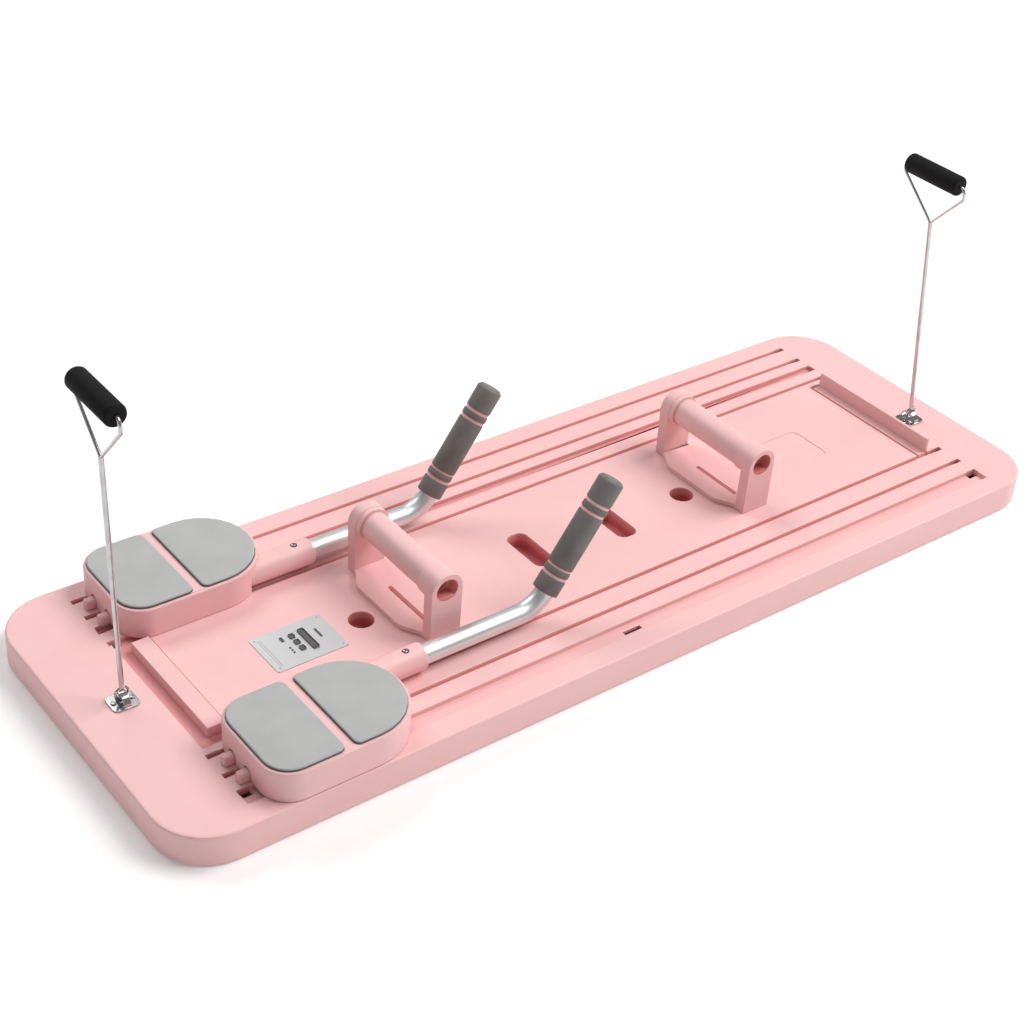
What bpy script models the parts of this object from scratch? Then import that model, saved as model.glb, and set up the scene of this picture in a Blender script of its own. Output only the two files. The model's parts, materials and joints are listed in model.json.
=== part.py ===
"""Home Pilates reformer: a moulded board with two sliding knee carriages on its rails, each with
a bent push tube, two lift-off push-up stands, and two hinged pull handles.

Metres. +X runs along the board, +Y across it, +Z up. The origin is on the floor under the
board's centre.
"""

import math

import bmesh
import bpy
from mathutils import Matrix

GAP = 0.0003  # clearance between neighbouring pieces

# Board
BOARD_LENGTH = 1.114
BOARD_WIDTH = 0.390
BOARD_TOP = 0.035
SKIRT_BOTTOM = 0.002
CORNER_RADIUS = 0.056
TOP_FILLET = 0.0035
SKIN = 0.009  # thickness under the top face
WALL = 0.0045
COVER_INSET = 0.003
COVER_LOW = 0.0025
COVER_THICKNESS = 0.002
RIB = 0.003
RIB_PITCH = 0.180
LONG_RIB_Y = 0.062

# Rails: (low y, high y) of each groove in the top
GROOVE_DEPTH = 0.005
RAIL_ENDS = (-0.479, 0.493)
BACK_GROOVES = ((0.1635, 0.1685), (0.1345, 0.1395), (0.1085, 0.1195), (0.0875, 0.0925))
FRONT_GROOVES = ((-0.1020, -0.0970), (-0.1315, -0.1265), (-0.1710, -0.1515))
FRONT_CHANNEL_SLOT = (-0.1575, -0.1515)
END_SLOT_LENGTH = 0.012
NOTCH_LENGTH = 0.022
NOTCHES = ((-0.038, 0.1090, 0.1140), (-0.031, -0.1640, -0.1590))

# Wells in the middle of the board
ROUND_WELLS = ((-0.254, -0.008), (0.167, -0.011))
ROUND_WELL_RADIUS = 0.0135
HAND_SLOTS = ((-0.039, -0.004), (0.068, -0.010))
HAND_SLOT_HALF = (0.0125, 0.031)
WELL_DEPTH = 0.017
WELL_WALL = 0.0035

# Ends of the board
LEFT_RECESS = ((-0.4770, -0.088), (-0.4405, 0.088))
LEFT_BAR = ((-0.4635, -0.0730), (-0.4445, 0.0730))
LEFT_BAR_TOP = BOARD_TOP + 0.007
RIGHT_RECESS = ((0.4565, -0.0990), (0.4740, 0.0805))
RIGHT_TRAY = ((0.4600, -0.0960), (0.4737, 0.0775))
RIGHT_WALL_THICKNESS = 0.004
RIGHT_WALL_TOP = BOARD_TOP + 0.018

# Plates set into the top
LABEL_CENTRE = (-0.325, -0.006)
LABEL_HALF = (0.040, 0.0285)
PANEL_RECESS_CENTRE = (0.3365, -0.010)
PANEL_RECESS_HALF = (0.033, 0.0285)

# Feet
FOOT_RADIUS = 0.016
FEET = [(x, y) for x in (-0.46, 0.0, 0.46) for y in (-0.135, 0.135)]

# Knee carriages: positions are from the carriage's centre on the board's top
SLIDER_X = -0.379
SLIDER_Y = 0.135
SLIDER_HALF = (0.084, 0.0585)
SLIDER_CORNER = 0.030
SLIDER_BOTTOM = 0.0006
SLIDER_TOP = 0.033
SLIDER_WALL = 0.0025
HOUSING_EDGE = 0.0024
PAD_INSET = 0.0035
PAD_RECESS = 0.0012
PAD_TOP = 0.036
PAD_DIVIDER = (-0.0100, 0.0)  # x range of the rib between the two pads
BASE_HALF_WIDTH = 0.0555
BASE_X = (-0.0805, 0.040)
BASE_TOP = 0.0036
LUG_YS = {"back": (0.0155, -0.0135), "front": (0.019, -0.0075)}
LUG_HALF = 0.0048
LUG_TIP = -0.0940
LUG_TOP = 0.0105
GUIDE_HALF = 0.0018
GUIDE_X = (-0.052, 0.015)
GUIDE_LOW = -0.0035
GUIDES = {"back": (0.166, 0.137), "front": (-0.0995, -0.129)}
ROLLER_RADIUS = 0.0055
ROLLER_HALF = 0.024
ROLLER_AXLE_RADIUS = 0.002
ROLLER_XS = {"rear": -0.060, "lead": 0.023}

# Push tube and its socket
SOCKET_Y = 0.035  # from the carriage's centre towards the board's middle
SOCKET_Z = 0.015
SOCKET_RADIUS = 0.0142
SOCKET_X = (0.048, 0.132)
TUBE_RADIUS = 0.0105
TUBE_BORE = 0.0090
TUBE_START = 0.062
BEND_START = 0.248
BEND_RADIUS = 0.040
BEND_ANGLE = math.radians(55.5)
BUTTON_X = 0.1135
BUTTON_RADIUS = 0.0030
BUTTON_FLANGE = 0.0042
BUTTON_LOW = 0.0185
BUTTON_TOP = 0.0300
SPRING_RADIUS = 0.0029
SPRING_WIRE = 0.0005
SPRING_LOW = 0.0077
SPRING_TURNS = 4

# Grip on the push tube, along its own axis
GRIP_RADIUS = 0.0138
GRIP_SEAT = 0.0117
GRIP_LAND = 0.0130
GRIP_CUFF = (0.0, 0.017)
GRIP_LOWER_RING = (0.021, 0.027)
GRIP_BARREL = (0.030, 0.090)
GRIP_UPPER_RING = (0.094, 0.100)
GRIP_CAP = (0.104, 0.131)
SLEEVE_END = 0.117

# Push-up stands: positions are from the stand's centre on the board's top
STAND_XS = {"left": -0.2005, "right": 0.2175}
STAND_Y = -0.0025
STAND_HALF = 0.0730
STAND_PLATE = (0.0003, 0.0058)
STAND_WAIST = 0.018
STAND_BULGE = 0.031
STAND_BAR_Z = 0.058
STAND_BAR_RADIUS = 0.0158
STAND_HOOD_RADIUS = 0.0193
STAND_BOSS_RADIUS = 0.0182
STAND_LEG = 0.013
COLLAR_STEP = 0.0006
STAND_HOOD_DEPTH = 0.0185
STAND_BOSS_DEPTH = 0.0265
STAND_BORE = 0.0126
STAND_BORE_DEPTH = 0.014
STAND_CORE_RADIUS = 0.0062
STAND_SLOT = (-0.004, -0.0135, 0.0325, 0.0026)  # centre x, centre y, half length, half width
PEG_RADIUS = 0.004
PEG_LENGTH = 0.006
PEG_Y = 0.061

# Pull handles
ANCHORS = {"left": (-0.5065, 0.0075), "right": (0.508, -0.036)}
ANCHOR_PLATE_HALF = (0.0135, 0.0125)
ANCHOR_PLATE_CORNER = 0.006
ANCHOR_PLATE_TOP = 0.0018
ARCH_OUTER = 0.0115
ARCH_THICKNESS = 0.002
ARCH_HALF_WIDTH = 0.0035
SCREW_X = 0.0092
SCREW_HEAD_RADIUS = 0.0030
SCREW_RADIUS = 0.0015
SCREW_LENGTH = 0.006
HINGE_Z = 0.0117
ROD_LEAN = {"left": math.radians(-1), "right": math.radians(-8.7)}
ROD_RADIUS = 0.0025
EYE_RADIUS = 0.0060
EYE_WIRE = 0.0013
FORK_Z = 0.2600
FORK_WIRE = 0.0018
HANDLE_Z = 0.3205
HANDLE_RADIUS = 0.0110
HANDLE_HALF = 0.036
HANDLE_BORE = 0.0022

COLOURS = {  # name: (linear colour, roughness, metallic)
    "pink_plastic": ((0.88, 0.62, 0.62), 0.45, 0.0),
    "grey_pad": ((0.47, 0.48, 0.48), 0.7, 0.0),
    "aluminium": ((0.78, 0.79, 0.80), 0.28, 1.0),
    "grey_grip": ((0.21, 0.20, 0.19), 0.65, 0.0),
    "chrome": ((0.80, 0.80, 0.81), 0.12, 1.0),
    "black_foam": ((0.012, 0.012, 0.012), 0.75, 0.0),
    "label_metal": ((0.60, 0.62, 0.62), 0.35, 1.0),
    "black_rubber": ((0.03, 0.03, 0.03), 0.8, 0.0),
    "steel": ((0.55, 0.55, 0.56), 0.3, 1.0),
    "white_nylon": ((0.75, 0.75, 0.73), 0.5, 0.0),
}


def clear_scene():
    for obj in list(bpy.data.objects):
        bpy.data.objects.remove(obj, do_unlink=True)


def make_material(name):
    colour, roughness, metallic = COLOURS[name]
    material = bpy.data.materials.new(name)
    material.use_nodes = True
    shader = material.node_tree.nodes["Principled BSDF"]
    shader.inputs["Base Color"].default_value = (*colour, 1.0)
    shader.inputs["Roughness"].default_value = roughness
    shader.inputs["Metallic"].default_value = metallic
    return material


def loose(mesh):
    """A nameless working object, later kept as a part or used up as a tool."""
    obj = bpy.data.objects.new("work", mesh)
    bpy.context.scene.collection.objects.link(obj)
    return obj


def from_bmesh(shape):
    mesh = bpy.data.meshes.new("work")
    shape.to_mesh(mesh)
    shape.free()
    return loose(mesh)


def bake(obj):
    """Replaces an object's data by its evaluated mesh, welded and with its faces outwards."""
    graph = bpy.context.evaluated_depsgraph_get()
    graph.update()
    mesh = bpy.data.meshes.new_from_object(obj.evaluated_get(graph))
    shape = bmesh.new()
    shape.from_mesh(mesh)
    bmesh.ops.remove_doubles(shape, verts=shape.verts, dist=0.000005)
    bmesh.ops.recalc_face_normals(shape, faces=shape.faces)
    shape.to_mesh(mesh)
    shape.free()
    if obj.type == "MESH":
        obj.modifiers.clear()
        obj.data = mesh
        return obj
    baked = loose(mesh)
    baked.matrix_world = obj.matrix_world
    bpy.data.objects.remove(obj, do_unlink=True)
    return baked


def boxes(corner_pairs):
    """Boxes that don't touch, in one object."""
    shape = bmesh.new()
    for low, high in corner_pairs:
        size = [b - a for a, b in zip(low, high)]
        centre = [(a + b) / 2 for a, b in zip(low, high)]
        place = Matrix.Translation(centre) @ Matrix.Diagonal((*size, 1))
        bmesh.ops.create_cube(shape, size=1, matrix=place)
    return from_bmesh(shape)


def box(low, high):
    return boxes([(low, high)])


def cylinder(radius, start, end, sides=16):
    """A cylinder between two points on a line along X, Y or Z."""
    span = [b - a for a, b in zip(start, end)]
    axis = max(range(3), key=lambda i: abs(span[i]))
    turn = (Matrix.Rotation(math.pi / 2, 4, "Y"), Matrix.Rotation(math.pi / 2, 4, "X"), Matrix())[axis]
    centre = [(a + b) / 2 for a, b in zip(start, end)]
    shape = bmesh.new()
    bmesh.ops.create_cone(
        shape, cap_ends=True, segments=sides, radius1=radius, radius2=radius,
        depth=abs(span[axis]), matrix=Matrix.Translation(centre) @ turn,
    )
    return from_bmesh(shape)


def filleted(corners, step=math.radians(12)):
    """The (x, y) points of a polygon whose (x, y, radius) corners are rounded."""
    points = []
    for i, (x, y, radius) in enumerate(corners):
        before, after = corners[i - 1], corners[(i + 1) % len(corners)]
        if radius == 0:
            points.append((x, y))
            continue
        to_before = math.atan2(before[1] - y, before[0] - x)
        to_after = math.atan2(after[1] - y, after[0] - x)
        opening = (to_before - to_after + math.pi) % (2 * math.pi) - math.pi
        reach = radius / math.sin(abs(opening) / 2)
        middle = to_after + opening / 2
        centre = (x + reach * math.cos(middle), y + reach * math.sin(middle))
        side = math.copysign(math.pi / 2, opening)
        start, turned = to_before + side, math.copysign(math.pi - abs(opening), opening)
        count = max(1, round(abs(turned) / step))
        for k in range(count + 1):
            angle = start + turned * k / count
            points.append((centre[0] + radius * math.cos(angle), centre[1] + radius * math.sin(angle)))
    return [point for i, point in enumerate(points) if math.dist(point, points[i - 1]) > 0.00002]


def rounded_rectangle(centre, half, radius):
    (cx, cy), (hx, hy) = centre, half
    corners = ((-hx, -hy), (hx, -hy), (hx, hy), (-hx, hy))
    return filleted([(cx + x, cy + y, radius) for x, y in corners])


def flat_solid(points, low, high):
    """An (x, y) outline, anticlockwise, extruded from height low to height high."""
    shape = bmesh.new()
    floor = [shape.verts.new((x, y, low)) for x, y in points]
    ceiling = [shape.verts.new((x, y, high)) for x, y in points]
    shape.faces.new(floor[::-1])
    shape.faces.new(ceiling)
    for i in range(len(points)):
        shape.faces.new((floor[i - 1], floor[i], ceiling[i], ceiling[i - 1]))
    bmesh.ops.recalc_face_normals(shape, faces=shape.faces)
    return from_bmesh(shape)


def upright_solid(points, low_y, high_y):
    """An (x, z) outline filled and extruded along Y."""
    solid = flat_solid(points, -high_y, -low_y)
    solid.data.transform(Matrix.Rotation(math.pi / 2, 4, "X"))
    return solid


def turned(profile, sides=16):
    """A closed (radius, z) profile turned about Z. It runs down its outer side."""
    mesh = bpy.data.meshes.new("profile")
    points = [(radius, 0, z) for radius, z in profile]
    edges = [(i, (i + 1) % len(points)) for i in range(len(points))]
    mesh.from_pydata(points, edges, [])
    solid = loose(mesh)
    screw = solid.modifiers.new("turn", "SCREW")
    screw.axis = "Z"
    screw.steps = screw.render_steps = sides
    screw.use_merge_vertices = True
    screw.merge_threshold = 0.00001
    return bake(solid)


def ring_profile(outer, inner, low, high, chamfer=0.0):
    return (
        (inner, high), (outer - chamfer, high), (outer, high - chamfer),
        (outer, low + chamfer), (outer - chamfer, low), (inner, low),
    ) if chamfer else ((inner, high), (outer, high), (outer, low), (inner, low))


def swept(points, radius, bevel_resolution=2, closed=False):
    """A round bar along points in space."""
    curve = bpy.data.curves.new("path", "CURVE")
    curve.dimensions = "3D"
    curve.bevel_depth = radius
    curve.bevel_resolution = bevel_resolution
    curve.use_fill_caps = True
    spline = curve.splines.new("POLY")
    spline.points.add(len(points) - 1)
    for point, place in zip(spline.points, points):
        point.co = (*place, 1)
    spline.use_cyclic_u = closed
    path = bpy.data.objects.new("path", curve)
    bpy.context.scene.collection.objects.link(path)
    return bake(path)


def combine(target, tool, operation):
    modifier = target.modifiers.new(operation.lower(), "BOOLEAN")
    modifier.solver = "EXACT"
    modifier.operation = operation
    modifier.object = tool
    bake(target)
    bpy.data.objects.remove(tool, do_unlink=True)


def cut(target, *tools):
    for tool in tools:
        combine(target, tool, "DIFFERENCE")


def join(target, *tools):
    for tool in tools:
        combine(target, tool, "UNION")


def round_edges(obj, width, segments, chosen):
    """Bevels the edges whose middle and direction chosen(middle, direction) accepts."""
    shape = bmesh.new()
    shape.from_mesh(obj.data)
    picked = []
    for edge in shape.edges:
        start, end = (vertex.co for vertex in edge.verts)
        if chosen((start + end) / 2, (end - start).normalized()):
            picked.append(edge)
    bmesh.ops.bevel(
        shape, geom=picked, offset=width, segments=segments, profile=0.5, affect="EDGES"
    )
    shape.to_mesh(obj.data)
    shape.free()


def level_edges_at(height):
    return lambda middle, direction: abs(middle.z - height) < 0.00001 and abs(direction.z) < 0.01


def empty(name, location, parent=None, rotation=(0, 0, 0)):
    holder = bpy.data.objects.new(name, None)
    PARTS.objects.link(holder)
    holder.location = location
    holder.rotation_euler = rotation
    holder.parent = parent
    return holder


def part(name, obj, material, parent=None, location=(0, 0, 0), rotation=(0, 0, 0)):
    """Names a finished piece, gives it its material and puts it in its place."""
    obj.name = obj.data.name = name
    obj.data.materials.clear()
    obj.data.materials.append(MATERIALS[material])
    obj.data.shade_smooth()
    obj.data.set_sharp_from_angle(angle=math.radians(35))
    obj.parent = parent
    obj.location = location
    obj.rotation_euler = rotation
    bpy.context.scene.collection.objects.unlink(obj)
    PARTS.objects.link(obj)
    return obj


def board_outline(inset):
    half = (BOARD_LENGTH / 2 - inset, BOARD_WIDTH / 2 - inset)
    return rounded_rectangle((0, 0), half, CORNER_RADIUS - inset)


def board_hollow():
    """The space under the skin: cells between the ribs, clear of the wells."""
    low, high = SKIRT_BOTTOM - 0.01, BOARD_TOP - SKIN
    hollow = flat_solid(board_outline(WALL), low, high)
    below, above = low - 0.01, high + 0.01
    rib_xs = [RIB_PITCH * i for i in range(-2, 3)]
    for x in rib_xs:
        cut(hollow, box((x - RIB / 2, -0.3, below), (x + RIB / 2, 0.3, above)))
    for y in (-LONG_RIB_Y, LONG_RIB_Y):
        cut(hollow, box((-0.7, y - RIB / 2, below), (0.7, y + RIB / 2, above)))
    for x, y in ROUND_WELLS:
        radius = ROUND_WELL_RADIUS + WELL_WALL
        cut(hollow, cylinder(radius, (x, y, below), (x, y, above)))
    for centre in HAND_SLOTS:
        half = [size + WELL_WALL for size in HAND_SLOT_HALF]
        cut(hollow, flat_solid(rounded_rectangle(centre, half, 0.012), below, above))
    return hollow


def groove_cutters():
    floor, above = BOARD_TOP - GROOVE_DEPTH, BOARD_TOP + 0.01
    grooves = [
        ((RAIL_ENDS[0], low, floor), (RAIL_ENDS[1], high, above))
        for low, high in BACK_GROOVES + FRONT_GROOVES
    ]
    return boxes(grooves)


def end_slot_cutters():
    """Openings through the skin where each groove ends, and in the middle of the channels."""
    floor, above = BOARD_TOP - 2 * SKIN, BOARD_TOP + 0.02
    spread = 0.0006
    slots = []
    for low, high in BACK_GROOVES + FRONT_GROOVES[:2] + (FRONT_CHANNEL_SLOT,):
        for end in (RAIL_ENDS[0], RAIL_ENDS[1] - END_SLOT_LENGTH):
            near = (end - spread, low - spread, floor)
            far = (end + END_SLOT_LENGTH + spread, min(high, low + 0.006) + spread, above)
            slots.append((near, far))
    for x, low, high in NOTCHES:
        slots.append(((x - NOTCH_LENGTH / 2, low, floor), (x + NOTCH_LENGTH / 2, high, above)))
    return boxes(slots)


def board_shell():
    shell = flat_solid(board_outline(0), SKIRT_BOTTOM, BOARD_TOP)
    round_edges(shell, TOP_FILLET, 2, level_edges_at(BOARD_TOP))
    cut(shell, board_hollow())
    cover_seat = COVER_LOW + COVER_THICKNESS + GAP
    cut(shell, flat_solid(board_outline(COVER_INSET), SKIRT_BOTTOM - 0.01, cover_seat))
    cut(shell, groove_cutters(), end_slot_cutters())
    above = BOARD_TOP + 0.01
    for x, y in ROUND_WELLS:
        floor = BOARD_TOP - WELL_DEPTH
        cut(shell, cylinder(ROUND_WELL_RADIUS, (x, y, floor), (x, y, above)))
        cut(shell, cylinder(ROUND_WELL_RADIUS - 0.004, (x, y, floor - 0.006), (x, y, above)))
    for centre in HAND_SLOTS:
        outline = rounded_rectangle(centre, HAND_SLOT_HALF, 0.0095)
        cut(shell, flat_solid(outline, BOARD_TOP - WELL_DEPTH, above))
    recess_floor = BOARD_TOP - GROOVE_DEPTH
    for (x0, y0), (x1, y1) in (LEFT_RECESS, RIGHT_RECESS):
        cut(shell, box((x0, y0, recess_floor), (x1, y1, above)))
    label_seat = [size + GAP for size in LABEL_HALF]
    cut(shell, flat_solid(rounded_rectangle(LABEL_CENTRE, label_seat, 0.003), BOARD_TOP - 0.0004, above))
    recess = rounded_rectangle(PANEL_RECESS_CENTRE, PANEL_RECESS_HALF, 0.009)
    cut(shell, flat_solid(recess, BOARD_TOP - 0.0008, above))
    peg_floor = BOARD_TOP - PEG_LENGTH - GAP
    for x in STAND_XS.values():
        for y in (STAND_Y - PEG_Y, STAND_Y + PEG_Y):
            cut(shell, cylinder(PEG_RADIUS + GAP, (x, y, peg_floor), (x, y, above), 12))
    for x, y in ANCHORS.values():
        for side in (-SCREW_X, SCREW_X):
            bottom = BOARD_TOP - SCREW_LENGTH
            place = (x + side, y, bottom), (x + side, y, above)
            cut(shell, cylinder(SCREW_RADIUS + GAP, *place, 12))
    return part("board_shell", shell, "pink_plastic")


def bottom_cover():
    outline = board_outline(COVER_INSET + GAP)
    part("bottom_cover", flat_solid(outline, COVER_LOW, COVER_LOW + COVER_THICKNESS), "pink_plastic")


def feet():
    for number, (x, y) in enumerate(FEET, 1):
        top = COVER_LOW - GAP
        foot = turned(
            ((0, top), (FOOT_RADIUS, top), (FOOT_RADIUS, 0.0008), (FOOT_RADIUS - 0.0008, 0), (0, 0))
        )
        part(f"foot_{number}", foot, "black_rubber", location=(x, y, 0))


def end_trims():
    floor = BOARD_TOP - GROOVE_DEPTH + GAP
    (x0, y0), (x1, y1) = LEFT_BAR
    bar = box((x0, y0, floor), (x1, y1, LEFT_BAR_TOP))
    round_edges(bar, 0.0012, 2, level_edges_at(LEFT_BAR_TOP))
    part("end_bar_left", bar, "pink_plastic")
    (x0, y0), (x1, y1) = RIGHT_TRAY
    tray = box((x0, y0, floor), (x1, y1, BOARD_TOP - 0.0005))
    wall = box((x1 - RIGHT_WALL_THICKNESS, y0, floor), (x1, y1, RIGHT_WALL_TOP))
    round_edges(wall, 0.0012, 2, level_edges_at(RIGHT_WALL_TOP))
    join(tray, wall)
    part("end_wall_right", tray, "pink_plastic")


def label_plate():
    outline = rounded_rectangle(LABEL_CENTRE, LABEL_HALF, 0.0028)
    part("label_plate", flat_solid(outline, BOARD_TOP - 0.0001, BOARD_TOP + 0.0006), "label_metal")


def carriage_outline(inset, x_low=-SLIDER_HALF[0], x_high=SLIDER_HALF[0], corner=SLIDER_CORNER):
    """Square-ended towards -X with rounded corners, and a half circle towards +X."""
    half = SLIDER_HALF[1] - inset
    return filleted([
        (x_low + inset, -half, corner - inset), (x_high - inset, -half, half),
        (x_high - inset, half, half), (x_low + inset, half, corner - inset),
    ])


def rear_pad_outline():
    x0, x1 = -SLIDER_HALF[0] + PAD_INSET, PAD_DIVIDER[0]
    y = SLIDER_HALF[1] - PAD_INSET
    outer, inner = SLIDER_CORNER - PAD_INSET, 0.008
    return [(x0, -y, outer), (x1, -y, inner), (x1, y, inner), (x0, y, outer)]


def lead_pad_outline():
    x0, x1 = PAD_DIVIDER[1], SLIDER_HALF[0] - PAD_INSET
    y = SLIDER_HALF[1] - PAD_INSET
    return [(x0, -y, 0.006), (x1, -y, y), (x1, y, y), (x0, y, 0.006)]


def inset_corners(corners, inset):
    """The same rounded outline drawn in by inset on every side."""
    middle = sum(x for x, _, _ in corners) / len(corners)
    return [
        (x - inset * math.copysign(1, x - middle), y - inset * math.copysign(1, y), radius - inset)
        for x, y, radius in corners
    ]


def slider_housing(name, holder, socket_y):
    housing = flat_solid(carriage_outline(0), SLIDER_BOTTOM, SLIDER_TOP)
    round_edges(housing, HOUSING_EDGE, 2, level_edges_at(SLIDER_TOP))
    ceiling = SLIDER_TOP - 0.004
    cut(housing, flat_solid(carriage_outline(SLIDER_WALL), SLIDER_BOTTOM - 0.01, ceiling))
    for corners in (rear_pad_outline(), lead_pad_outline()):
        seat = filleted(inset_corners(corners, -GAP))
        cut(housing, flat_solid(seat, SLIDER_TOP - PAD_RECESS, SLIDER_TOP + 0.01))
    clear = SOCKET_RADIUS + GAP
    mouth = cylinder(clear, (SOCKET_X[0], socket_y, SOCKET_Z), (0.1, socket_y, SOCKET_Z), 20)
    under = box((0.03, socket_y - clear, -0.01), (0.11, socket_y + clear, SOCKET_Z))
    cut(housing, mouth, under)
    for y in LUG_YS[name.split("_")[1]]:
        arch = LUG_HALF + 0.0014
        arch_z = LUG_TOP - LUG_HALF + 0.0016
        start, end = (-SLIDER_HALF[0] - 0.01, y, arch_z), (-SLIDER_HALF[0] + 0.01, y, arch_z)
        cut(housing, cylinder(arch, start, end, 12))
        cut(housing, box((start[0], y - arch, -0.01), (end[0] + 0.001, y + arch, arch_z)))
    part(f"{name}_housing", housing, "pink_plastic", holder)


def slider_base(name, holder, centre_y):
    """The floor of a carriage: bump lugs, runners for the grooves and bearings for the rollers."""
    x0, x1 = BASE_X
    outline = filleted([
        (x0, -BASE_HALF_WIDTH, 0.026), (x1, -BASE_HALF_WIDTH, 0.012),
        (x1, BASE_HALF_WIDTH, 0.012), (x0, BASE_HALF_WIDTH, 0.026),
    ])
    base = flat_solid(outline, SLIDER_BOTTOM, BASE_TOP)
    axle_z = GAP + ROLLER_RADIUS
    for x in ROLLER_XS.values():
        gap = ROLLER_RADIUS + 0.001
        cut(base, box((x - gap, -ROLLER_HALF - 0.001, -0.01), (x + gap, ROLLER_HALF + 0.001, 0.02)))
        for side in (-1, 1):
            y0 = side * (ROLLER_HALF + 0.001)
            y1 = side * (ROLLER_HALF + 0.006)
            low = (x - 0.005, min(y0, y1), SLIDER_BOTTOM + 0.0004)
            high = (x + 0.005, max(y0, y1), axle_z + 0.004)
            join(base, box(low, high))
        ends = (x, -ROLLER_HALF - 0.02, axle_z), (x, ROLLER_HALF + 0.02, axle_z)
        cut(base, cylinder(ROLLER_AXLE_RADIUS + GAP, *ends, 12))
    for y in LUG_YS[name.split("_")[1]]:
        lug = box((LUG_TIP, y - LUG_HALF, SLIDER_BOTTOM), (x0 + 0.008, y + LUG_HALF, LUG_TOP))
        round_edges(lug, 0.0018, 1, lambda middle, _: middle.z > BASE_TOP and middle.x < x0)
        join(base, lug)
    for world_y in GUIDES[name.split("_")[1]]:
        y = world_y - centre_y
        low = (GUIDE_X[0], y - GUIDE_HALF, GUIDE_LOW)
        join(base, box(low, (GUIDE_X[1], y + GUIDE_HALF, SLIDER_BOTTOM + 0.001)))
    part(f"{name}_base", base, "pink_plastic", holder)


def slider_pads(name, holder):
    for end, corners in (("rear", rear_pad_outline()), ("lead", lead_pad_outline())):
        pad = flat_solid(filleted(corners), SLIDER_TOP - PAD_RECESS + GAP, PAD_TOP)
        round_edges(pad, 0.0012, 2, level_edges_at(PAD_TOP))
        part(f"{name}_{end}_pad", pad, "grey_pad", holder)


def slider_rollers(name, holder):
    for end, x in ROLLER_XS.items():
        length, stub = ROLLER_HALF, ROLLER_HALF + 0.0055
        profile = (
            (0, stub), (ROLLER_AXLE_RADIUS, stub), (ROLLER_AXLE_RADIUS, length),
            (ROLLER_RADIUS - 0.0005, length), (ROLLER_RADIUS, length - 0.0005),
            (ROLLER_RADIUS, -length + 0.0005), (ROLLER_RADIUS - 0.0005, -length),
            (ROLLER_AXLE_RADIUS, -length), (ROLLER_AXLE_RADIUS, -stub), (0, -stub),
        )
        roller = turned(profile, 14)
        roller.data.transform(Matrix.Rotation(math.pi / 2, 4, "X"))
        part(f"{name}_{end}_roller", roller, "white_nylon", holder, (x, 0, GAP + ROLLER_RADIUS))


def tube_socket(name, holder, y):
    start, end = (SOCKET_X[0] + GAP, y, SOCKET_Z), (SOCKET_X[1], y, SOCKET_Z)
    socket = cylinder(SOCKET_RADIUS, start, end, 20)
    round_edges(socket, 0.001, 1, lambda middle, direction: middle.x > end[0] - 0.0001)
    bore = (start[0] - 0.01, y, SOCKET_Z), (end[0] + 0.01, y, SOCKET_Z)
    cut(socket, cylinder(TUBE_RADIUS + GAP, *bore, 20))
    hole = (BUTTON_X, y, SOCKET_Z), (BUTTON_X, y, SOCKET_Z + 0.03)
    cut(socket, cylinder(BUTTON_RADIUS + 0.0008, *hole, 12))
    part(f"{name}_tube_socket", socket, "pink_plastic", holder)


def tube_path(extend):
    """Along +X, round the bend, and up inside the grip."""
    points = [(TUBE_START - extend, 0, SOCKET_Z), (BEND_START, 0, SOCKET_Z)]
    steps = 6
    for i in range(1, steps + 1):
        angle = BEND_ANGLE * i / steps
        x = BEND_START + BEND_RADIUS * math.sin(angle)
        points.append((x, 0, SOCKET_Z + BEND_RADIUS * (1 - math.cos(angle))))
    x, _, z = points[-1]
    length = SLEEVE_END - 0.005 + extend
    points.append((x + length * math.cos(BEND_ANGLE), 0, z + length * math.sin(BEND_ANGLE)))
    return points


def push_tube(name, holder, y):
    tube = swept(tube_path(0), TUBE_RADIUS, bevel_resolution=5)
    cut(tube, swept(tube_path(0.01), TUBE_BORE, bevel_resolution=3))
    hole = (BUTTON_X, 0, SOCKET_Z), (BUTTON_X, 0, SOCKET_Z + 0.03)
    cut(tube, cylinder(BUTTON_RADIUS + GAP, *hole, 12))
    part(f"{name}_push_tube", tube, "aluminium", holder, (0, y, 0))


def snap_button(name, holder, y):
    profile = (
        (0, BUTTON_TOP), (BUTTON_RADIUS - 0.001, BUTTON_TOP), (BUTTON_RADIUS, BUTTON_TOP - 0.001),
        (BUTTON_RADIUS, BUTTON_LOW + 0.003), (BUTTON_FLANGE, BUTTON_LOW + 0.003),
        (BUTTON_FLANGE, BUTTON_LOW), (0, BUTTON_LOW),
    )
    part(f"{name}_snap_button", turned(profile, 12), "steel", holder, (BUTTON_X, y, 0))


def button_spring(name, holder, y):
    high = BUTTON_LOW - GAP - SPRING_WIRE
    count = SPRING_TURNS * 8
    points = []
    for i in range(count + 1):
        angle = 2 * math.pi * SPRING_TURNS * i / count
        z = SPRING_LOW + (high - SPRING_LOW) * i / count
        points.append((SPRING_RADIUS * math.cos(angle), SPRING_RADIUS * math.sin(angle), z))
    spring = swept(points, SPRING_WIRE, bevel_resolution=0)
    part(f"{name}_button_spring", spring, "steel", holder, (BUTTON_X, y, 0))


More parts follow.
